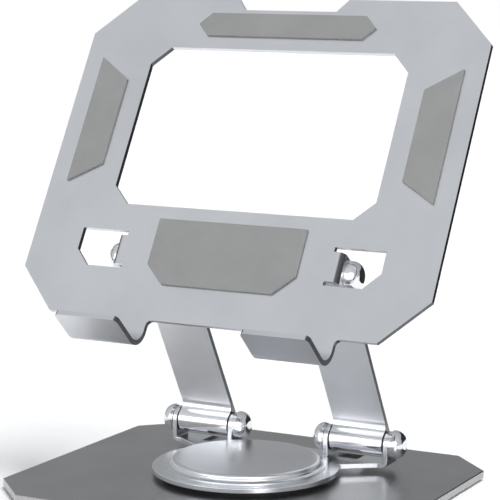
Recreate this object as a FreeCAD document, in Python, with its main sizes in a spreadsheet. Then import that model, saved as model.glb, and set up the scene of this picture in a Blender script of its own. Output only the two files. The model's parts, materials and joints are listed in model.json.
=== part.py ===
import FreeCAD, Part
import math
import os

import Sketcher
from FreeCAD import Placement, Rotation, Vector

# A folding tablet stand.  Millimetres, +Z up, +Y to the back, +X to the right.  The origin is on the
# surface the stand rests on, below the centre of its turntable.

SIDES = {"left": -1, "right": 1}

# The driving dimensions.  Every one becomes a cell of the sheet "Dims" with this alias.
DIMS = {
    # base plate and the silicone mat under it
    "base_half_width": 99.0, "base_half_depth": 85.0, "base_thick": 3.8,
    "base_corner_across": 77.0, "base_corner_along": 63.0, "base_edge_round": 0.6,
    "mat_half_width": 95.0, "mat_half_depth": 81.0, "mat_thick": 1.2,
    "mat_corner_across": 74.0, "mat_corner_along": 60.0, "mat_hole_radius": 13.0,
    # turntable
    "glide_gap": 2.4, "glide_thick": 2.35, "glide_outer": 40.0, "glide_inner": 30.0,
    "swivel_radius": 45.6, "swivel_thick": 2.5, "swivel_bore": 6.05,
    "wing_half_width": 60.2, "wing_front": 32.8, "wing_back": 45.4,
    "wing_shoulder": 55.0, "wing_root_across": 40.0, "wing_root_along": 21.7,
    "slot_inner": 28.0, "slot_outer": 43.0, "slot_front": 33.4, "slot_back": 44.8,
    "cap_lip": 38.8, "cap_lip_thick": 0.4, "cap_foot": 36.5, "cap_side": 36.3, "cap_height": 3.95,
    "cap_neck": 1.5, "cap_round": 1.9, "cap_inner": 33.4, "cap_inner_top": 2.8, "cap_inner_side": 35.0,
    "stud_radius": 6.0, "stud_head_radius": 11.0, "stud_head_thick": 1.0, "stud_tip": 2.4,
    "pivot_nut_radius": 9.0, "pivot_nut_thick": 1.8, "pivot_washer_radius": 14.0,
    "pivot_washer_thick": 0.5, "pivot_play": 0.1,
    # hinges: two in line at the turntable, two in line behind the tablet plate
    "pin_radius": 3.0, "pin_bore": 3.06, "barrel_radius": 6.2, "ear_round": 6.3,
    "ear_thick": 2.5, "ear_inner": 25.5, "ear_outer": 57.7, "ear_bend": 3.4,
    "barrel_inner": 28.65, "barrel_width": 28.4,
    "friction_radius": 5.6, "friction_thick": 0.55,
    "washer_radius": 6.5, "washer_thick": 0.7, "hinge_play": 0.05,
    "dome_radius": 7.1, "dome_foot": 0.8, "dome_height": 6.0, "dome_flat": 1.6, "dome_bore": 3.4,
    "pin_short": 0.2,
    # arms
    "arm_length": 104.6, "arm_thick": 2.5, "arm_root": 4.0,
    # tablet plate: half outline, measured from the middle of its bottom edge
    "plate_thick": 2.5, "plate_half": 108.0, "plate_height": 173.0,
    "plate_foot": 86.5, "plate_low_corner": 21.7, "plate_high_corner": 151.0,
    "plate_shoulder": 85.9, "notch_half": 30.2, "notch_floor_half": 24.7, "notch_floor": 166.3,
    "window_half": 69.9, "window_corner": 60.4, "window_low": 58.3, "window_low_corner": 67.6,
    "window_high_corner": 134.8, "window_high": 144.4,
    # the ears turned back out of the plate, and the ports that they leave in it
    "port_outer": 80.8, "port_top": 44.2, "port_corner": 33.0, "port_foot": 73.0, "port_low": 25.0,
    "tab_low": 27.2, "tab_high": 42.0, "tab_outer_fold": 56.7, "tab_outer_relief": 55.0,
    "tab_outer_slit": 53.4, "tab_inner_fold": 29.0, "tab_inner_relief": 30.7, "tab_inner_slit": 32.3,
    "inner_port": 10.5, "tab_bend": 1.0, "slit_round": 1.0,
    "hook_inner": 32.0, "hook_width": 34.0, "hook_drop": 5.3, "hook_bend": 7.0,
    "hook_lip": 17.5, "hook_rise_deg": 13.0, "hook_root": 3.0, "hook_corner": 2.5, "hook_fillet": 3.0,
    # silicone pads on the plate
    "pad_thick": 1.2,
    "top_pad_high": 163.9, "top_pad_mid": 157.5, "top_pad_low": 151.1,
    "top_pad_high_half": 41.9, "top_pad_half": 48.2,
    "side_pad_outer": 98.0, "side_pad_inner": 80.5, "side_pad_top": 137.2, "side_pad_top_in": 125.7,
    "side_pad_low_in": 78.5, "side_pad_low": 68.1,
    "low_pad_half": 39.4, "low_pad_high": 51.6, "low_pad_corner": 27.7, "low_pad_foot": 29.1,
    "low_pad_low": 18.0,
    # where the hinge lines are and how the parts stand
    "lower_axis_back": 39.1, "lower_axis_up": 13.6, "upper_axis_up_plate": 34.7,
    "upper_axis_behind": 10.8, "arm_angle_deg": 120.1, "plate_angle_deg": 59.4,
}

document = FreeCAD.newDocument("tablet_stand")
sheet = document.addObject("Spreadsheet::Sheet", "Dims")
for row, (alias, size) in enumerate(DIMS.items(), 1):
    sheet.set(f"A{row}", alias)
    sheet.set(f"B{row}", str(size))
    sheet.setAlias(f"B{row}", alias)
document.recompute()

# Levels and places worked out from the sheet's cells.
BASE_TOP = DIMS["mat_thick"] + DIMS["base_thick"]
SWIVEL_LOW = BASE_TOP + DIMS["glide_gap"]
SWIVEL_TOP = SWIVEL_LOW + DIMS["swivel_thick"]
LOWER_AXIS = Vector(0, DIMS["lower_axis_back"], BASE_TOP + DIMS["lower_axis_up"])
ARM_TURN = Rotation(Vector(1, 0, 0), DIMS["arm_angle_deg"])
PLATE_TURN = Rotation(Vector(1, 0, 0), DIMS["plate_angle_deg"])
UPPER_AXIS = LOWER_AXIS + ARM_TURN.multVec(Vector(0, DIMS["arm_length"], 0))
PLATE_PLACE = Placement(
    UPPER_AXIS - PLATE_TURN.multVec(Vector(0, DIMS["upper_axis_up_plate"], -DIMS["upper_axis_behind"])),
    PLATE_TURN,
)

parts = []


# ---------------------------------------------------------------- helpers

def number(token):
    """The value of a signed alias such as "-plate_half"."""
    return -DIMS[token[1:]] if token.startswith("-") else DIMS[token]


def cell(token):
    """The expression of a signed alias."""
    return "-Dims." + token[1:] if token.startswith("-") else "Dims." + token


def new_body(name):
    body = document.addObject("PartDesign::Body", name)
    body.Label = name
    parts.append(body)
    return body


def new_sketch(body, name, plane="XY_Plane", lift=0.0, lift_cell=None):
    """A sketch on one of the body's origin planes, lifted off it by a plain height or a cell."""
    sketch = body.newObject("Sketcher::SketchObject", name)
    origin_plane = next(f for f in body.Origin.OriginFeatures if f.Role == plane)
    sketch.AttachmentSupport = [(origin_plane, "")]
    sketch.MapMode = "FlatFace"
    if lift_cell:
        sketch.setExpression("AttachmentOffset.Base.z", lift_cell)
    elif lift:
        sketch.AttachmentOffset = Placement(Vector(0, 0, lift), Rotation())
    return sketch


def pin_point(sketch, geometry, x, y):
    """Fixes the start point of a line, or the centre of a circle, at two signed aliases ("0" is zero)."""
    which = 3 if isinstance(sketch.Geometry[geometry], Part.Circle) else 1
    for kind, token, axis in (("DistanceX", x, -2), ("DistanceY", y, -1)):
        if token == "0":
            sketch.addConstraint(Sketcher.Constraint("PointOnObject", geometry, which, axis))
        else:
            k = sketch.addConstraint(
                Sketcher.Constraint(kind, -1, 1, geometry, which, number(token)))
            sketch.setExpression(f"Constraints[{k}]", cell(token))


def add_polygon(sketch, corners):
    """A closed polygon whose corners are pairs of signed aliases."""
    first = sketch.GeometryCount
    spots = [Vector(0 if x == "0" else number(x), 0 if y == "0" else number(y), 0) for x, y in corners]
    count = len(spots)
    for i in range(count):
        sketch.addGeometry(Part.LineSegment(spots[i], spots[(i + 1) % count]), False)
    for i in range(count):
        sketch.addConstraint(
            Sketcher.Constraint("Coincident", first + i, 2, first + (i + 1) % count, 1))
    for i, (x, y) in enumerate(corners):
        pin_point(sketch, first + i, x, y)


def mirrored(corners):
    """The same half outline on the other side, in reverse order, so that both make one loop."""
    return [("-" + x if x != "0" else x, y) for x, y in reversed(corners)]


def add_circle(sketch, radius, x="0", y="0"):
    place = Vector(0 if x == "0" else number(x), 0 if y == "0" else number(y), 0)
    k = sketch.addGeometry(Part.Circle(place, Vector(0, 0, 1), number(radius)), False)
    pin_point(sketch, k, x, y)
    c = sketch.addConstraint(Sketcher.Constraint("Radius", k, number(radius)))
    sketch.setExpression(f"Constraints[{c}]", cell(radius))


def pad(body, sketch, length, reverse=False):
    feature = body.newObject("PartDesign::Pad", sketch.Name + "_pad")
    feature.Profile = sketch
    feature.setExpression("Length", length)
    feature.Reversed = reverse
    sketch.Visibility = False
    document.recompute()
    return feature


def pocket(body, sketch, length=None, reverse=False):
    """A pocket of a stated depth, or through everything both ways."""
    feature = body.newObject("PartDesign::Pocket", sketch.Name + "_pocket")
    feature.Profile = sketch
    if length:
        feature.setExpression("Length", length)
    else:
        feature.Type = "ThroughAll"
        feature.Midplane = True
    feature.Reversed = reverse
    document.recompute()
    return feature


def revolve(name, corners):
    """A body turned about its own Z axis from a polygon of (radius, height) aliases."""
    body = new_body(name)
    sketch = new_sketch(body, name + "_section", "XZ_Plane")
    add_polygon(sketch, corners)
    feature = body.newObject("PartDesign::Revolution", name + "_turned")
    feature.Profile = sketch
    feature.ReferenceAxis = (sketch, ["V_Axis"])
    feature.Angle = 360
    document.recompute()
    return body


def round_edges(body, wanted, radius):
    """Fillets the tip's edges for which wanted(edge) is true, with a cell as the radius."""
    tip = body.Tip
    names = [f"Edge{i}" for i, e in enumerate(tip.Shape.Edges, 1) if wanted(e)]
    if not names:
        raise RuntimeError(f"{body.Label}: there is no edge to round")
    feature = body.newObject("PartDesign::Fillet", tip.Name + "_round")
    feature.Base = (tip, names)
    feature.setExpression("Radius", radius)
    document.recompute()
    return feature


def outer_circle_at(radius, height):
    """Tells a full circle of that radius about Z at that height."""
    def wanted(edge):
        curve = edge.Curve
        return (isinstance(curve, Part.Circle) and abs(curve.Radius - radius) < 1e-3
                and abs(edge.CenterOfMass.z - height) < 1e-3)
    return wanted


def level(height):
    return Placement(Vector(0, 0, height), Rotation())


def washer_shape(outer, inner, thick):
    return Part.makeCylinder(outer, thick).cut(Part.makeCylinder(inner, thick))


def group(name, shapes):
    """One node that holds several separate solids."""
    feature = document.addObject("Part::Feature", name)
    feature.Label = name
    feature.Shape = Part.makeCompound(shapes)
    parts.append(feature)
    return feature


# ---------------------------------------------------------------- base

def corner_cut_rectangle(width, depth, across, along):
    half = [(across, "-" + depth), (width, "-" + along), (width, along), (across, depth)]
    return half + mirrored(half)


def make_base_plate():
    body = new_body("base_plate")
    outline = new_sketch(body, "base_outline")
    add_polygon(outline, corner_cut_rectangle(
        "base_half_width", "base_half_depth", "base_corner_across", "base_corner_along"))
    add_circle(outline, "stud_radius")
    pad(body, outline, "Dims.base_thick")
    top = DIMS["base_thick"]
    round_edges(body, lambda e: abs(e.CenterOfMass.z - top) < 1e-3 and isinstance(e.Curve, Part.Line),
                "Dims.base_edge_round")
    body.Placement = level(DIMS["mat_thick"])


def make_base_mat():
    body = new_body("base_mat")
    outline = new_sketch(body, "mat_outline")
    add_polygon(outline, corner_cut_rectangle(
        "mat_half_width", "mat_half_depth", "mat_corner_across", "mat_corner_along"))
    add_circle(outline, "mat_hole_radius")
    pad(body, outline, "Dims.mat_thick")


def make_pivot():
    """The fixed stud, its low head under the base plate, and what holds the turntable down."""
    stud = document.addObject("Part::MultiFuse", "pivot_stud")
    head = document.addObject("Part::Cylinder", "stud_head")
    head.setExpression("Radius", "Dims.stud_head_radius")
    head.setExpression("Height", "Dims.stud_head_thick")
    head.Placement = level(DIMS["mat_thick"] - DIMS["stud_head_thick"])
    shank = document.addObject("Part::Cylinder", "stud_shank")
    shank.setExpression("Radius", "Dims.stud_radius")
    shank.setExpression(
        "Height", "Dims.base_thick + Dims.glide_gap + Dims.swivel_thick + Dims.stud_tip")
    shank.Placement = level(DIMS["mat_thick"])
    stud.Shapes = [head, shank]
    stud.Label = "pivot_stud"
    parts.append(stud)

    low = SWIVEL_TOP + DIMS["pivot_play"]
    group("pivot_washer", [washer_shape(
        DIMS["pivot_washer_radius"], DIMS["stud_radius"], DIMS["pivot_washer_thick"])])
    parts[-1].Placement = level(low)

    nut = new_body("pivot_nut")
    outline = new_sketch(nut, "pivot_nut_outline")
    add_circle(outline, "pivot_nut_radius")
    add_circle(outline, "stud_radius")
    pad(nut, outline, "Dims.pivot_nut_thick")
    nut.Placement = level(low + DIMS["pivot_washer_thick"])

    ring = new_body("glide_ring")
    outline = new_sketch(ring, "glide_outline")
    add_circle(outline, "glide_outer")
    add_circle(outline, "glide_inner")
    pad(ring, outline, "Dims.glide_thick")
    ring.Placement = level(BASE_TOP)


# ---------------------------------------------------------------- turntable

def ear_profile(body, name, x):
    """An upright ear round the lower hinge line, in the body's own frame, starting at x."""
    sketch = new_sketch(body, name, "YZ_Plane", lift=x)
    axis = Vector(DIMS["lower_axis_back"], LOWER_AXIS.z - SWIVEL_LOW, 0)
    round_radius = DIMS["ear_round"]
    left, right = axis.x - round_radius, axis.x + round_radius
    lines = [Part.LineSegment(Vector(left, axis.y, 0), Vector(left, 0, 0)),
             Part.LineSegment(Vector(left, 0, 0), Vector(right, 0, 0)),
             Part.LineSegment(Vector(right, 0, 0), Vector(right, axis.y, 0))]
    for line in lines:
        sketch.addGeometry(line, False)
    sketch.addGeometry(Part.ArcOfCircle(Part.Circle(axis, Vector(0, 0, 1), round_radius), 0, math.pi), False)
    sketch.addGeometry(Part.Circle(axis, Vector(0, 0, 1), DIMS["pin_bore"]), False)
    return sketch


def make_swivel_plate():
    """One pressing: a disc, two wings, and four ears turned up, the inner two out of the slots."""
    body = new_body("swivel_plate")
    disc = new_sketch(body, "swivel_disc")
    add_circle(disc, "swivel_radius")
    pad(body, disc, "Dims.swivel_thick")
    wings = new_sketch(body, "swivel_wings")
    half = [("wing_root_across", "wing_root_along"), ("wing_shoulder", "wing_front"),
            ("wing_half_width", "wing_front"), ("wing_half_width", "wing_back")]
    add_polygon(wings, half + mirrored(half))
    pad(body, wings, "Dims.swivel_thick")
    slots = new_sketch(body, "swivel_slots")
    slot = [("slot_inner", "slot_front"), ("slot_outer", "slot_front"),
            ("slot_outer", "slot_back"), ("slot_inner", "slot_back")]
    add_polygon(slots, slot)
    add_polygon(slots, mirrored(slot))
    pocket(body, slots)
    ear, outer, thick = DIMS["ear_inner"], DIMS["ear_outer"], DIMS["ear_thick"]
    for name, start in (("ear_a", -outer - thick), ("ear_b", -ear - thick), ("ear_c", ear), ("ear_d", outer)):
        pad(body, ear_profile(body, name, start), "Dims.ear_thick")
    edge = DIMS["wing_half_width"]
    round_edges(body, lambda e: abs(abs(e.CenterOfMass.x) - edge) < 1e-3 and
                abs(e.CenterOfMass.z) < 1e-3, "Dims.ear_bend")
    bore = new_sketch(body, "swivel_bore_circle")
    add_circle(bore, "swivel_bore")
    pocket(body, bore)
    body.Placement = level(SWIVEL_LOW)


def make_cap():
    """The round hollow cap over the pivot: a full round shoulder, and a thin lip that it spreads into."""
    body = revolve("turntable_cap", [
        ("cap_inner_side", "0"), ("cap_lip", "0"), ("cap_lip", "cap_lip_thick"),
        ("cap_foot", "cap_lip_thick"), ("cap_side", "cap_height"), ("0", "cap_height"),
        ("0", "cap_inner_top"), ("cap_inner", "cap_inner_top")])
    round_edges(body, outer_circle_at(DIMS["cap_side"], DIMS["cap_height"]), "Dims.cap_round")
    round_edges(body, outer_circle_at(DIMS["cap_foot"], DIMS["cap_lip_thick"]), "Dims.cap_neck")
    body.Placement = level(SWIVEL_TOP)


# ---------------------------------------------------------------- hinge hardware

def along_x(x, axis):
    """A placement whose local Z runs along +X, at x on a hinge line."""
    return Placement(Vector(x, axis.y, axis.z), Rotation(Vector(0, 1, 0), 90))


def add_dome(body, way):
    """A smooth dome on a short round foot, turned about the body's Z axis.  It stands on the XY plane,
    upwards for way 1 and downwards for way -1."""
    radius, foot, height = DIMS["dome_radius"], way * DIMS["dome_foot"], way * DIMS["dome_height"]
    flat = DIMS["dome_flat"]
    middle, edge, shoulder = Vector(0, 0), Vector(radius, 0), Vector(radius, foot)
    rim, top = Vector(flat, height), Vector(0, height)
    bulge = Vector(flat + (radius - flat) * math.sqrt(0.5), foot + (height - foot) * math.sqrt(0.5))
    section = new_sketch(body, body.Label + "_dome", "XZ_Plane")
    for piece in (Part.LineSegment(middle, edge), Part.LineSegment(edge, shoulder),
                  Part.Arc(shoulder, bulge, rim), Part.LineSegment(rim, top),
                  Part.LineSegment(top, middle)):
        section.addGeometry(piece, False)
    turned = body.newObject("PartDesign::Revolution", body.Label + "_turned")
    turned.Profile = section
    turned.ReferenceAxis = (section, ["V_Axis"])
    turned.Angle = 360
    document.recompute()


def make_bolt(name, left, right, axis):
    """A domed head at the left of a plain shank that ends inside the cap nut at the right."""
    body = new_body(name)
    add_dome(body, -1)
    shank = new_sketch(body, name + "_shank")
    add_circle(shank, "pin_radius")
    pad(body, shank, f"{right - left:.4f} + Dims.dome_bore - Dims.pin_short")
    body.Placement = along_x(left, axis)


def make_nut(name, x, axis):
    """A domed cap nut, bored from its foot."""
    body = new_body(name)
    add_dome(body, 1)
    bore = new_sketch(body, name + "_bore")
    add_circle(bore, "pin_radius")
    pocket(body, bore, "Dims.dome_bore", reverse=True)
    body.Placement = along_x(x, axis)


def make_hinge_hardware(level_name, side, axis):
    """Bolt, nut, the two plain washers under them, and the two friction washers beside the barrel."""
    sign = SIDES[side]
    inner, outer, thick = DIMS["ear_inner"], DIMS["ear_outer"] + DIMS["ear_thick"], DIMS["washer_thick"]
    left, right = (inner, outer) if sign > 0 else (-outer, -inner)
    play = DIMS["hinge_play"]
    name = f"{level_name}_{side}_hinge"
    make_bolt(name + "_bolt", left - thick - 2 * play, right + thick + 2 * play, axis)
    make_nut(name + "_nut", right + thick + 2 * play, axis)
    ring = washer_shape(DIMS["washer_radius"], DIMS["pin_bore"], thick)
    rings = []
    for x in (left - thick - play, right + play):
        one = ring.copy()
        one.Placement = along_x(x, axis)
        rings.append(one)
    group(name + "_washers", rings)
    disc = washer_shape(DIMS["friction_radius"], DIMS["pin_bore"], DIMS["friction_thick"])
    start = DIMS["barrel_inner"] if sign > 0 else -DIMS["barrel_inner"] - DIMS["barrel_width"]
    discs = []
    for x in (start - play - DIMS["friction_thick"], start + DIMS["barrel_width"] + play):
        one = disc.copy()
        one.Placement = along_x(x, axis)
        discs.append(one)
    group(name + "_friction_washers", discs)


# ---------------------------------------------------------------- arms

def arm_section():
    """The arm's side view: a strip whose ends are rolled to the front into closed barrels.  X runs up
    the arm, Y out of its front."""
    radius, length, root = DIMS["barrel_radius"], DIMS["arm_length"], DIMS["arm_root"]
    front = DIMS["arm_thick"] - radius
    reach = math.sqrt((radius + root) ** 2 - (front + root) ** 2)
    touch = Vector(reach, front + root, 0) * (radius / (radius + root))
    lean = math.atan2(touch.y, touch.x)

    def barrel(angle, end):
        return Vector(end + radius * math.cos(angle), radius * math.sin(angle), 0)

    def root_middle(sign, end):
        away = Vector(-reach, -(front + root), 0).normalize() + Vector(0, -1, 0)
        middle = Vector(reach, front + root, 0) + away.normalize() * root
        return Vector(end + sign * middle.x, middle.y, 0)

    low_touch, high_touch = touch, Vector(length - touch.x, touch.y, 0)
    low_front, high_front = Vector(reach, front, 0), Vector(length - reach, front, 0)
    return [
        Part.LineSegment(barrel(-math.pi / 2, 0), barrel(-math.pi / 2, length)),
        Part.Arc(barrel(-math.pi / 2, length), barrel((math.pi / 2 - lean) / 2, length), high_touch),
        Part.Arc(high_touch, root_middle(-1, length), high_front),
        Part.LineSegment(high_front, low_front),
        Part.Arc(low_front, root_middle(1, 0), low_touch),
        Part.Arc(low_touch, barrel((lean + 3 * math.pi / 2) / 2, 0), barrel(-math.pi / 2, 0)),
    ]


def make_arm(side):
    """One formed strip, hinged at both ends."""
    sign = SIDES[side]
    body = new_body(f"arm_{side}")
    start = DIMS["barrel_inner"] if sign > 0 else -DIMS["barrel_inner"] - DIMS["barrel_width"]
    section = new_sketch(body, f"arm_{side}_section", "YZ_Plane", lift=start)
    for edge in arm_section():
        section.addGeometry(edge, False)
    for end in (0, DIMS["arm_length"]):
        section.addGeometry(Part.Circle(Vector(end, 0, 0), Vector(0, 0, 1), DIMS["pin_bore"]), False)
    pad(body, section, "Dims.barrel_width")
    body.Placement = Placement(LOWER_AXIS, ARM_TURN)


# ---------------------------------------------------------------- tablet plate and what is on it

def hook_section():
    """The hook's side view: a strip that leaves the plate downwards and bends forward.  X is up the
    plate, Y is out of its front face."""
    thick, bend, drop = DIMS["plate_thick"], DIMS["hook_bend"], DIMS["hook_drop"]
    centre = Vector(-drop, bend, 0)
    end = math.radians(90 + DIMS["hook_rise_deg"])
    def on(radius, angle):
        # angle 0 points back at the plate, and grows towards the tip
        return centre + Vector(-radius * math.sin(angle), -radius * math.cos(angle), 0)
    tangent = Vector(-math.cos(end), math.sin(end), 0)
    outer_end, inner_end = on(bend + thick, end), on(bend, end)
    tip_outer, tip_inner = outer_end + tangent * DIMS["hook_lip"], inner_end + tangent * DIMS["hook_lip"]
    root = DIMS["hook_root"]
    edges = [
        Part.LineSegment(Vector(root, -thick, 0), Vector(-drop, -thick, 0)),
        Part.Arc(Vector(-drop, -thick, 0), on(bend + thick, end / 2), outer_end),
        Part.LineSegment(outer_end, tip_outer),
        Part.LineSegment(tip_outer, tip_inner),
        Part.LineSegment(tip_inner, inner_end),
        Part.Arc(inner_end, on(bend, end / 2), Vector(-drop, 0, 0)),
        Part.LineSegment(Vector(-drop, 0, 0), Vector(root, 0, 0)),
        Part.LineSegment(Vector(root, 0, 0), Vector(root, -thick, 0)),
    ]
    return edges


def add_plate_ear(body, name, way, fold):
    """An ear turned back out of the plate.  The sheet bends at x = fold, and the ear's outer face looks
    along X the way the sheet came from: +1 or -1."""
    thick, bend = DIMS["plate_thick"], DIMS["tab_bend"]
    centre = Vector(fold, -thick - bend, 0)

    def on(radius, degrees):
        angle = math.radians(degrees)
        return centre + Vector(way * radius * math.sin(angle), radius * math.cos(angle), 0)

    outer, inner = bend + thick, bend
    bent = new_sketch(body, name + "_bend", "XZ_Plane", lift=-DIMS["tab_low"])
    for piece in (Part.LineSegment(on(inner, 0), on(outer, 0)),
                  Part.Arc(on(outer, 0), on(outer, 45), on(outer, 90)),
                  Part.LineSegment(on(outer, 90), on(inner, 90)),
                  Part.Arc(on(inner, 90), on(inner, 45), on(inner, 0))):
        bent.addGeometry(piece, False)
    pad(body, bent, "Dims.tab_high - Dims.tab_low", reverse=True)

    start = min(fold + way * inner, fold + way * outer)
    ear = new_sketch(body, name + "_face", "YZ_Plane", lift=start)
    axis = Vector(DIMS["upper_axis_up_plate"], -DIMS["upper_axis_behind"], 0)
    radius = DIMS["ear_round"]
    touches = []
    for up, turn in ((DIMS["tab_low"], 1), (DIMS["tab_high"], -1)):
        foot = Vector(up, centre.y, 0)
        line = foot - axis
        angle = math.atan2(line.y, line.x) + turn * math.acos(radius / line.Length)
        touches.append((foot, axis + Vector(math.cos(angle), math.sin(angle), 0) * radius))
    (low_foot, low_touch), (high_foot, high_touch) = touches
    for piece in (Part.LineSegment(low_foot, high_foot), Part.LineSegment(high_foot, high_touch),
                  Part.Arc(high_touch, axis - Vector(0, radius, 0), low_touch),
                  Part.LineSegment(low_touch, low_foot),
                  Part.Circle(axis, Vector(0, 0, 1), DIMS["pin_bore"])):
        ear.addGeometry(piece, False)
    pad(body, ear, "Dims.plate_thick")


def make_tablet_plate():
    """The flat frame that carries the tablet; its hooks and hinge ears are bent out of the same sheet."""
    body = new_body("tablet_plate")
    outline = new_sketch(body, "plate_outline")
    half = [("plate_foot", "0"), ("plate_half", "plate_low_corner"), ("plate_half", "plate_high_corner"),
            ("plate_shoulder", "plate_height"), ("notch_half", "plate_height"),
            ("notch_floor_half", "notch_floor")]
    add_polygon(outline, half + mirrored(half))
    window = [("window_corner", "window_low"), ("window_half", "window_low_corner"),
              ("window_half", "window_high_corner"), ("window_corner", "window_high")]
    add_polygon(outline, window + mirrored(window))
    outer_port = [("port_foot", "port_low"), ("port_outer", "port_corner"), ("port_outer", "port_top"),
                  ("tab_outer_relief", "port_top"), ("tab_outer_relief", "tab_high"),
                  ("tab_outer_fold", "tab_high"), ("tab_outer_fold", "tab_low"),
                  ("tab_outer_slit", "tab_low"), ("tab_outer_slit", "port_low")]
    inner_port = [("inner_port", "port_low"), ("tab_inner_slit", "port_low"),
                  ("tab_inner_slit", "tab_low"), ("tab_inner_fold", "tab_low"),
                  ("tab_inner_fold", "tab_high"), ("tab_inner_relief", "tab_high"),
                  ("tab_inner_relief", "port_top"), ("inner_port", "port_top")]
    for port in (outer_port, inner_port):
        add_polygon(outline, port)
        add_polygon(outline, mirrored(port))
    pad(body, outline, "Dims.plate_thick", reverse=True)
    slits = (DIMS["tab_outer_slit"], DIMS["tab_inner_slit"])
    round_edges(body, lambda e: abs(e.Length - DIMS["plate_thick"]) < 1e-3 and
                min(abs(abs(e.CenterOfMass.x) - slit) for slit in slits) < 1e-3, "Dims.slit_round")
    for side, sign in SIDES.items():
        add_plate_ear(body, f"ear_{side}_outer", sign, sign * DIMS["tab_outer_fold"])
        add_plate_ear(body, f"ear_{side}_inner", -sign, sign * DIMS["tab_inner_fold"])
    for side, sign in SIDES.items():
        start = DIMS["hook_inner"] if sign > 0 else -DIMS["hook_inner"] - DIMS["hook_width"]
        section = new_sketch(body, f"hook_{side}", "YZ_Plane", lift=start)
        for edge in hook_section():
            section.addGeometry(edge, False)
        pad(body, section, "Dims.hook_width")
    tip_line = hook_section()[3]
    tip_mid = (tip_line.StartPoint + tip_line.EndPoint) * 0.5
    round_edges(body, lambda e: e.Length < DIMS["plate_thick"] * 1.01 and
                (Vector(e.CenterOfMass.y, e.CenterOfMass.z, 0) - tip_mid).Length < 1e-3,
                "Dims.hook_corner")
    inner, outer = DIMS["hook_inner"], DIMS["hook_inner"] + DIMS["hook_width"]
    round_edges(body, lambda e: abs(e.Length - DIMS["plate_thick"]) < 1e-3 and
                abs(e.CenterOfMass.y) < 1e-3 and
                min(abs(abs(e.CenterOfMass.x) - inner), abs(abs(e.CenterOfMass.x) - outer)) < 1e-3,
                "Dims.hook_fillet")
    body.Placement = PLATE_PLACE


def make_pad(name, corners):
    body = new_body(name)
    outline = new_sketch(body, name + "_outline")
    add_polygon(outline, corners)
    pad(body, outline, "Dims.pad_thick")
    body.Placement = PLATE_PLACE


def make_pads():
    half = [("top_pad_high_half", "top_pad_low"), ("top_pad_half", "top_pad_mid"),
            ("top_pad_high_half", "top_pad_high")]
    make_pad("pad_top", half + mirrored(half))
    side = [("side_pad_inner", "side_pad_low_in"), ("side_pad_outer", "side_pad_low"),
            ("side_pad_outer", "side_pad_top"), ("side_pad_inner", "side_pad_top_in")]
    make_pad("pad_right", side)
    make_pad("pad_left", mirrored(side))
    half = [("low_pad_foot", "low_pad_low"), ("low_pad_half", "low_pad_corner"),
            ("low_pad_half", "low_pad_high")]
    make_pad("pad_bottom", half + mirrored(half))


# ---------------------------------------------------------------- build, check, write

def main():
    make_base_plate()
    make_base_mat()
    make_pivot()
    make_swivel_plate()
    make_cap()
    for side in SIDES:
        make_arm(side)
        make_hinge_hardware("lower", side, LOWER_AXIS)
        make_hinge_hardware("upper", side, UPPER_AXIS)
    make_tablet_plate()
    make_pads()
    document.recompute()
    failed = [thing.Label for thing in document.Objects if {"Invalid", "Error"} & set(thing.State)]
    if failed:
        raise RuntimeError(f"these failed: {failed}")
    os.makedirs("parts", exist_ok=True)
    for part in parts:
        shape = part.Shape
        if shape.isNull() or not shape.isValid() or not shape.Solids:
            raise RuntimeError(f"{part.Label} is not a valid solid")
        shape.exportStep(f"parts/{part.Label}.step")
        print(f"{part.Label}: {len(shape.Solids)} solid, {shape.Volume:.1f} mm3")


main()
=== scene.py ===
"""Looks of the folding tablet stand: materials, soft edges, studio and camera.

Everything is in metres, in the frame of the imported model: +Z up, +Y to the back, +X to the right.
"""

import json
import math

import bpy
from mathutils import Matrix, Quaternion, Vector


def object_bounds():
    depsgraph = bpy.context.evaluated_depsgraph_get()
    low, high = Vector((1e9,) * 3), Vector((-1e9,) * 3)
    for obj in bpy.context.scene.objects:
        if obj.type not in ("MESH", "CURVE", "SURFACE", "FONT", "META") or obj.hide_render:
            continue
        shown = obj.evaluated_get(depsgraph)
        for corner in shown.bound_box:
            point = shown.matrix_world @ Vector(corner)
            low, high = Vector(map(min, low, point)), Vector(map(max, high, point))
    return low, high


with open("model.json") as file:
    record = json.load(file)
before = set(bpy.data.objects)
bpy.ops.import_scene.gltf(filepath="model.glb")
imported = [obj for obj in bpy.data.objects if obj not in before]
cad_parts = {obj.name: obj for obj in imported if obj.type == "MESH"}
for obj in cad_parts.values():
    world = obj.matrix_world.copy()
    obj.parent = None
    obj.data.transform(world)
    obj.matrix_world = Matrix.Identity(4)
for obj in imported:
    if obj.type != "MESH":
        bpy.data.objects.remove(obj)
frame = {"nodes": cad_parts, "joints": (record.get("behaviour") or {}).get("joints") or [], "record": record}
CAD_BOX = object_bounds()
MM = 0.001

# A painted highlight, mixed with wear, brightens a sheet this close to its edges, and painted shade leaves
# its cut sides this much of its colour.
WEAR_AND_HIGHLIGHT_REACH = 0.3 * MM
PAINTED_SIDE_SHADE = 0.16

# The camera stands to the right of the front and a little above.
CAMERA_YAW = 27.68
CAMERA_PITCH = 8.46
CAMERA_ROLL = 0.33
CAMERA_DISTANCE = 0.945
CAMERA_LENS = 145.5
CAMERA_SHIFT = (-0.004, 0.012)
AIM_FROM_CENTRE = Vector((0.0124, -0.0186, -0.0012))

# How bright the room is, from directions in front (Y = -0.6) to directions behind (Y = 0.9).
ROOM_BRIGHTNESS = (-0.6, 0.9, 0.70, 0.36)

# The low lights would whiten the tablet plate, so they fall on these bodies only.
LOW_LIT_BODIES = ("turntable", "arms", "upper_pins")


# ---------------------------------------------------------------- node helpers

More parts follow.
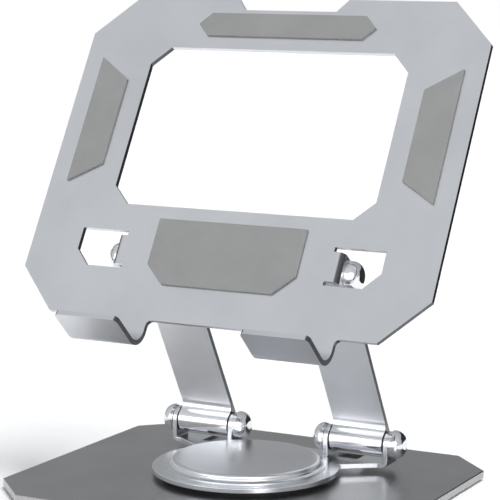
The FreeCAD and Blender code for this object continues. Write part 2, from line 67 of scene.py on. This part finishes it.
class Nodes:
    """A short way to write one material's nodes."""

    def __init__(self, name):
        self.material = bpy.data.materials.new(name)
        self.material.use_nodes = True
        self.tree = self.material.node_tree
        self.shader = self.tree.nodes["Principled BSDF"]
        self.where = self.add("ShaderNodeTexCoord").outputs["Object"]

    def add(self, kind, **settings):
        node = self.tree.nodes.new(kind)
        for key, value in settings.items():
            setattr(node, key, value)
        return node

    def link(self, source, target):
        self.tree.links.new(source, target)
        return target

    def noise(self, scale, detail=4.0, roughness=0.55, stretch=None):
        """Noise in object space, drawn out along the axes whose stretch is small."""
        node = self.add("ShaderNodeTexNoise")
        node.inputs["Scale"].default_value = scale
        node.inputs["Detail"].default_value = detail
        node.inputs["Roughness"].default_value = roughness
        where = self.where
        if stretch:
            mapping = self.add("ShaderNodeMapping")
            mapping.inputs["Scale"].default_value = stretch
            self.link(where, mapping.inputs["Vector"])
            where = mapping.outputs["Vector"]
        self.link(where, node.inputs["Vector"])
        return node.outputs["Fac"]

    def spread(self, value, low, high, start=0.0, end=1.0):
        """Maps a value from start..end to low..high."""
        node = self.add("ShaderNodeMapRange")
        self.link(value, node.inputs["Value"])
        node.inputs["From Min"].default_value = start
        node.inputs["From Max"].default_value = end
        node.inputs["To Min"].default_value = low
        node.inputs["To Max"].default_value = high
        return node.outputs["Result"]

    def mix(self, factor, first, second):
        """Mixes two colours; either may be a colour or a socket."""
        node = self.add("ShaderNodeMix", data_type="RGBA")
        self.link(factor, node.inputs["Factor"])
        for socket, colour in ((node.inputs[6], first), (node.inputs[7], second)):
            if isinstance(colour, tuple):
                socket.default_value = (*colour, 1.0)
            else:
                self.link(colour, socket)
        return node.outputs[2]

    def times(self, first, second):
        node = self.add("ShaderNodeMath", operation="MULTIPLY")
        self.link(first, node.inputs[0])
        self.link(second, node.inputs[1])
        return node.outputs[0]

    def distance_from_line(self, point):
        """How far the surface is from the line along X through a point, in the object's rest pose."""
        away = self.add("ShaderNodeVectorMath", operation="SUBTRACT")
        away.inputs[1].default_value = point
        self.link(self.where, away.inputs[0])
        flat = self.add("ShaderNodeVectorMath", operation="MULTIPLY")
        flat.inputs[1].default_value = (0.0, 1.0, 1.0)
        self.link(away.outputs[0], flat.inputs[0])
        length = self.add("ShaderNodeVectorMath", operation="LENGTH")
        self.link(flat.outputs[0], length.inputs[0])
        return length.outputs["Value"]

    def painted_shade_sides(self, sheet_back):
        """1 on the sides of a sheet whose normals turn towards X, and 0 on its rolled faces: the mask where
        painted shade darkens the cut sides.
        A sheet_back of (point, direction) leaves out what is bent away behind that plane."""
        where = self.add("ShaderNodeTexCoord")
        axes = self.add("ShaderNodeSeparateXYZ")
        self.link(where.outputs["Normal"], axes.inputs[0])
        size = self.add("ShaderNodeMath", operation="ABSOLUTE")
        self.link(axes.outputs["X"], size.inputs[0])
        mask = self.spread(size.outputs[0], 0.0, 1.0, 0.30, 0.50)
        if sheet_back:
            away = self.add("ShaderNodeVectorMath", operation="SUBTRACT")
            away.inputs[1].default_value = sheet_back[0]
            self.link(self.where, away.inputs[0])
            height = self.add("ShaderNodeVectorMath", operation="DOT_PRODUCT")
            height.inputs[1].default_value = sheet_back[1]
            self.link(away.outputs[0], height.inputs[0])
            mask = self.times(mask, self.spread(height.outputs["Value"], 0.0, 1.0, -0.2 * MM, 0.0))
        return mask

    def worn_and_highlit_edges(self, amount):
        """0 on flat faces, up to amount within the rounding radius of an edge, where a rounded normal turns
        away: the mask for edges brightened by wear and a painted highlight.
        """
        geometry = self.add("ShaderNodeNewGeometry")
        rounded = self.add("ShaderNodeBevel", samples=4)
        rounded.inputs["Radius"].default_value = WEAR_AND_HIGHLIGHT_REACH
        turned = self.add("ShaderNodeVectorMath", operation="DOT_PRODUCT")
        self.link(rounded.outputs["Normal"], turned.inputs[0])
        self.link(geometry.outputs["Normal"], turned.inputs[1])
        return self.spread(turned.outputs["Value"], 0.0, amount, 0.995, 0.90)

    def bump(self, height, strength, distance):
        node = self.add("ShaderNodeBump")
        node.inputs["Strength"].default_value = strength
        node.inputs["Distance"].default_value = distance
        self.link(height, node.inputs["Height"])
        self.link(node.outputs["Normal"], self.shader.inputs["Normal"])


def blasted_metal(name, colour, roughness, grain=5200.0, cloud=0.035, bump=0.10, polished_near=(),
                  paint_side_shade=False, sheet_back=None):
    """Bead-blasted, anodised sheet: a fine even grain, faint clouds, and edges brightened by wear and a
    painted highlight.  Near the given hinge lines, which run along X, the turning parts have rubbed it
    smooth.  When asked, its cut sides are darkened with painted shade, standing in for the dark they
    reflect."""
    n = Nodes(name)
    fine = n.noise(grain, 2.0)
    clouds = n.noise(26.0, 3.0)
    darker = tuple(c * (1 - cloud) for c in colour)
    lighter = tuple(min(1.0, c * (1 + cloud)) for c in colour)
    tint = n.mix(n.spread(clouds, 0.0, 1.0, 0.35, 0.65), darker, lighter)
    # Edges brightened by wear and a painted highlight.
    bright = tuple(min(1.0, c * 1.18 + 0.03) for c in colour)
    tint = n.mix(n.worn_and_highlit_edges(0.7), tint, bright)
    # Painted shade: the sides that face along X are darkened to stand in for the dark they reflect.
    if paint_side_shade:
        tint = n.mix(n.painted_shade_sides(sheet_back), tint, tuple(c * PAINTED_SIDE_SHADE for c in colour))
    n.link(tint, n.shader.inputs["Base Color"])
    rough = n.spread(fine, roughness - 0.05, roughness + 0.05, 0.3, 0.7)
    for line in polished_near:
        near = n.spread(n.distance_from_line(line), 0.35, 1.0, POLISHED_REACH, POLISHED_REACH * 1.9)
        rough = n.times(rough, near)
    n.link(rough, n.shader.inputs["Roughness"])
    n.shader.inputs["Metallic"].default_value = 1.0
    n.bump(fine, bump, 0.00004)
    return n.material


def turned_metal(name, colour, roughness):
    """A face turned on a lathe: fine rings about the vertical axis, which spread reflections outwards."""
    n = Nodes(name)
    rings = n.add("ShaderNodeTexWave", wave_type="RINGS", rings_direction="Z")
    rings.inputs["Scale"].default_value = 620.0
    rings.inputs["Distortion"].default_value = 0.6
    n.link(n.where, rings.inputs["Vector"])
    clouds = n.noise(30.0, 3.0)
    darker = tuple(c * 0.95 for c in colour)
    n.link(n.mix(n.spread(clouds, 0.0, 1.0, 0.35, 0.65), darker, colour), n.shader.inputs["Base Color"])
    n.link(n.spread(rings.outputs["Fac"], roughness - 0.03, roughness + 0.03), n.shader.inputs["Roughness"])
    n.shader.inputs["Metallic"].default_value = 1.0
    n.shader.inputs["Anisotropic"].default_value = 0.5
    around = n.add("ShaderNodeTangent", direction_type="RADIAL", axis="Z")
    n.link(around.outputs["Tangent"], n.shader.inputs["Tangent"])
    n.bump(clouds, 0.04, 0.00003)
    return n.material


def polished_metal(name, colour, roughness):
    """Plated metal: nearly a mirror, with hairlines and faint smears."""
    n = Nodes(name)
    hairlines = n.noise(900.0, 3.0, stretch=(0.06, 1.0, 1.0))
    smears = n.noise(120.0, 4.0)
    n.link(n.mix(smears, tuple(c * 0.96 for c in colour), colour), n.shader.inputs["Base Color"])
    n.link(n.spread(smears, roughness * 0.6, roughness * 1.5, 0.3, 0.7), n.shader.inputs["Roughness"])
    n.shader.inputs["Metallic"].default_value = 1.0
    n.bump(hairlines, 0.06, 0.00003)
    return n.material


def silicone(name, colour, roughness):
    """Matt moulded silicone: a fine sandy grain and a little dust."""
    n = Nodes(name)
    grain = n.noise(3400.0, 3.0)
    dust = n.noise(55.0, 6.0, 0.65)
    pale = tuple(min(1.0, c * 1.10) for c in colour)
    tint = n.mix(n.spread(dust, 0.0, 1.0, 0.40, 0.75), colour, pale)
    # Paler edges: wear and a painted highlight.
    n.link(n.mix(n.worn_and_highlit_edges(0.5), tint, pale), n.shader.inputs["Base Color"])
    n.link(n.spread(grain, roughness - 0.08, roughness + 0.08, 0.3, 0.7), n.shader.inputs["Roughness"])
    n.shader.inputs["Specular IOR Level"].default_value = 0.35
    n.bump(grain, 0.22, 0.00005)
    return n.material


def nylon(name):
    """Black moulded nylon."""
    n = Nodes(name)
    grain = n.noise(2600.0, 3.0)
    n.link(n.mix(grain, (0.018, 0.018, 0.019), (0.035, 0.035, 0.036)), n.shader.inputs["Base Color"])
    n.link(n.spread(grain, 0.38, 0.55, 0.3, 0.7), n.shader.inputs["Roughness"])
    n.bump(grain, 0.15, 0.00004)
    return n.material


# ---------------------------------------------------------------- finishes of the CAD nodes

SILVER = (0.76, 0.775, 0.805)

# Hinges rub the sheet smooth this far from their lines.
POLISHED_REACH = 7.0 * MM
HINGE_LINES = [joint["pos_m"] for joint in frame["joints"] if joint["name"] in ("arm_fold", "cradle_fold")]

FINISHES = {
    "satin_aluminium": blasted_metal("satin_aluminium", SILVER, 0.33),
    "base_grey": blasted_metal("base_grey", (0.46, 0.46, 0.465), 0.34, cloud=0.05),
    "chrome": polished_metal("chrome", (0.86, 0.87, 0.89), 0.10),
    "steel": polished_metal("steel", (0.62, 0.62, 0.64), 0.26),
    "grey_silicone": silicone("grey_silicone", (0.255, 0.255, 0.255), 0.72),
    "dark_silicone": silicone("dark_silicone", (0.03, 0.03, 0.032), 0.75),
    "black_nylon": nylon("black_nylon"),
}

TABLET_REST = next(mount for mount in frame["record"]["mounts"] if mount["name"] == "tablet_rest")
# From the pads' front plane to just behind the plate: pad 1.2, sheet 2.5 and a little more.
SHEET_DEPTH = 3.8 * MM
REST_WAY = Vector(TABLET_REST["axis"])
SHEET_BACK = (Vector(TABLET_REST["pos_m"]) - REST_WAY * SHEET_DEPTH, REST_WAY)
ARM_FINISH = blasted_metal(
    "rolled_aluminium", (0.93, 0.94, 0.96), 0.50, polished_near=HINGE_LINES, paint_side_shade=True)
OWN_FINISHES = {
    "arm_left": ARM_FINISH,
    "arm_right": ARM_FINISH,
    "swivel_plate": blasted_metal("pressed_aluminium", SILVER, 0.24, cloud=0.02),
    "tablet_plate": blasted_metal("sheet_aluminium", SILVER, 0.33, paint_side_shade=True, sheet_back=SHEET_BACK),
    "turntable_cap": turned_metal("turned_aluminium", SILVER, 0.27),
}

# Edge rounding in millimetres; a node not named here keeps its turned or moulded edges.
EDGE_ROUNDS = {
    "tablet_plate": 0.35, "arm_left": 0.25, "arm_right": 0.25, "swivel_plate": 0.45,
    "base_plate": 0.35, "base_mat": 0.25,
    "pad_top": 0.30, "pad_left": 0.30, "pad_right": 0.30, "pad_bottom": 0.30,
}


def make_normal_reset():
    """A modifier group that drops the imported normals, which no longer fit once edges are joined."""
    group = bpy.data.node_groups.new("reset_normals", "GeometryNodeTree")
    for way in ("INPUT", "OUTPUT"):
        group.interface.new_socket("Geometry", in_out=way, socket_type="NodeSocketGeometry")
    entry = group.nodes.new("NodeGroupInput")
    leave = group.nodes.new("NodeGroupOutput")
    drop = group.nodes.new("GeometryNodeRemoveAttribute")
    drop.inputs["Name"].default_value = "custom_normal"
    group.links.new(entry.outputs[0], drop.inputs[0])
    group.links.new(drop.outputs[0], leave.inputs[0])
    return group


NORMAL_RESET = make_normal_reset()


def soften_edges(node, radius_mm):
    """Joins the shared edges of the imported mesh, and rounds those that turn sharply."""
    weld = node.modifiers.new("join", "WELD")
    weld.merge_threshold = 0.002 * MM
    reset = node.modifiers.new("reset", "NODES")
    reset.node_group = NORMAL_RESET
    bevel = node.modifiers.new("round", "BEVEL")
    bevel.width = radius_mm * MM
    bevel.segments = 3
    bevel.limit_method = "ANGLE"
    bevel.angle_limit = math.radians(38)
    bevel.use_clamp_overlap = True
    bevel.harden_normals = True


def dress_nodes():
    slots = {entry["node"]: entry["material_slot"] for entry in frame["record"]["subparts"]}
    for name, node in frame["nodes"].items():
        node.data.materials.clear()
        node.data.materials.append(OWN_FINISHES.get(name) or FINISHES[slots[name]])
        if name in EDGE_ROUNDS:
            soften_edges(node, EDGE_ROUNDS[name])


# ---------------------------------------------------------------- studio

def make_floor():
    bpy.ops.mesh.primitive_plane_add(size=12.0, location=(0, 0, CAD_BOX[0].z))
    floor = bpy.context.object
    floor.name = "floor"
    n = Nodes("floor_paper")
    grain = n.noise(40.0, 4.0)
    n.link(n.mix(grain, (0.86, 0.86, 0.865), (0.90, 0.90, 0.905)), n.shader.inputs["Base Color"])
    n.shader.inputs["Roughness"].default_value = 0.9
    floor.data.materials.append(n.material)


def make_area_light(name, direction, distance, size, watts):
    """A square soft box that looks at the middle of the object."""
    centre = (CAD_BOX[0] + CAD_BOX[1]) / 2
    data = bpy.data.lights.new(name, "AREA")
    data.shape = "SQUARE"
    data.size = size
    data.energy = watts
    lamp = bpy.data.objects.new(name, data)
    bpy.context.scene.collection.objects.link(lamp)
    towards = Vector(direction).normalized()
    lamp.location = centre + towards * distance
    lamp.rotation_mode = "QUATERNION"
    lamp.rotation_quaternion = towards.to_track_quat("Z", "Y")
    lamp.visible_camera = False
    return lamp


def light_only(lamp, bodies):
    """Keeps a lamp to the pieces of some bodies."""
    lit = bpy.data.collections.new(lamp.name + "_lit")
    for body in bodies:
        for name in frame["record"]["behaviour"]["bodies"][body]:
            lit.objects.link(frame["nodes"][name])
    lamp.light_linking.receiver_collection = lit


def make_overhead_light(direction, spread_deg, strength):
    """A very soft light from above that falls evenly on the whole floor and isn't mirrored in the metal."""
    data = bpy.data.lights.new("overhead", "SUN")
    data.angle = math.radians(spread_deg)
    data.energy = strength
    lamp = bpy.data.objects.new("overhead", data)
    bpy.context.scene.collection.objects.link(lamp)
    lamp.rotation_mode = "QUATERNION"
    lamp.rotation_quaternion = Vector(direction).to_track_quat("Z", "Y")
    lamp.visible_glossy = False


def make_flag(name, centre, size, turn_deg, shade):
    """A dark card that gives the polished parts and the sheet's edges something to reflect."""
    bpy.ops.mesh.primitive_plane_add(size=1.0, location=centre)
    card = bpy.context.object
    card.name = name
    card.scale = (size[0], size[1], 1.0)
    card.rotation_euler = (math.radians(90), 0, math.radians(turn_deg))
    n = Nodes(name + "_cloth")
    weave = n.noise(60.0, 2.0)
    n.link(n.mix(weave, (shade, shade, shade), (shade * 1.3,) * 3), n.shader.inputs["Base Color"])
    n.shader.inputs["Roughness"].default_value = 0.95
    card.data.materials.append(n.material)
    card.visible_camera = False
    card.visible_shadow = False
    card.visible_diffuse = False


def make_world():
    """Plain white behind the object; what the metal reflects is bright in front and greyer behind."""
    world = bpy.data.worlds.new("studio")
    bpy.context.scene.world = world
    world.use_nodes = True
    tree = world.node_tree
    room = tree.nodes["Background"]
    white = tree.nodes.new("ShaderNodeBackground")
    white.inputs["Color"].default_value = (1.0, 1.0, 1.0, 1.0)
    where = tree.nodes.new("ShaderNodeTexCoord")
    axes = tree.nodes.new("ShaderNodeSeparateXYZ")
    tree.links.new(where.outputs["Generated"], axes.inputs[0])
    depth = tree.nodes.new("ShaderNodeMapRange")
    for socket, value in zip(("From Min", "From Max", "To Min", "To Max"), ROOM_BRIGHTNESS):
        depth.inputs[socket].default_value = value
    tree.links.new(axes.outputs["Y"], depth.inputs["Value"])
    tree.links.new(depth.outputs["Result"], room.inputs["Strength"])
    room.inputs["Color"].default_value = (0.97, 0.985, 1.0, 1.0)
    path = tree.nodes.new("ShaderNodeLightPath")
    choose = tree.nodes.new("ShaderNodeMixShader")
    tree.links.new(path.outputs["Is Camera Ray"], choose.inputs["Fac"])
    tree.links.new(room.outputs[0], choose.inputs[1])
    tree.links.new(white.outputs[0], choose.inputs[2])
    tree.links.new(choose.outputs[0], tree.nodes["World Output"].inputs["Surface"])
    bpy.context.scene.view_settings.view_transform = "Standard"


def make_studio():
    make_world()
    make_floor()
    make_overhead_light((0.30, 0.05, 1.0), spread_deg=28.0, strength=2.3)
    make_area_light("front", (0.75, -0.75, 0.35), distance=1.6, size=0.5, watts=4.0)
    low_front = make_area_light("low_front", (0.42, -0.90, 0.22), distance=1.6, size=1.3, watts=4.5)
    low_left = make_area_light("low_left", (-0.35, -0.93, 0.10), distance=1.3, size=1.0, watts=4.2)
    for lamp in (low_front, low_left):
        light_only(lamp, LOW_LIT_BODIES)
    make_flag("flag_right", (0.205, 0.268, 0.11), size=(0.38, 0.22), turn_deg=-27.7, shade=0.015)


def make_camera():
    data = bpy.data.cameras.new("camera")
    data.lens = CAMERA_LENS
    data.sensor_width = 36.0
    data.shift_x, data.shift_y = CAMERA_SHIFT
    data.clip_start = 0.05
    data.clip_end = 50.0
    camera = bpy.data.objects.new("camera", data)
    bpy.context.scene.collection.objects.link(camera)
    yaw, pitch = math.radians(CAMERA_YAW), math.radians(CAMERA_PITCH)
    forward = Vector((-math.sin(yaw) * math.cos(pitch), math.cos(yaw) * math.cos(pitch), -math.sin(pitch)))
    aim = (CAD_BOX[0] + CAD_BOX[1]) / 2 + AIM_FROM_CENTRE
    camera.location = aim - forward * CAMERA_DISTANCE
    camera.rotation_mode = "QUATERNION"
    roll = Quaternion((0, 0, 1), math.radians(CAMERA_ROLL))
    camera.rotation_quaternion = forward.to_track_quat("-Z", "Y") @ roll
    bpy.context.scene.camera = camera


make_camera()
dress_nodes()
make_studio()
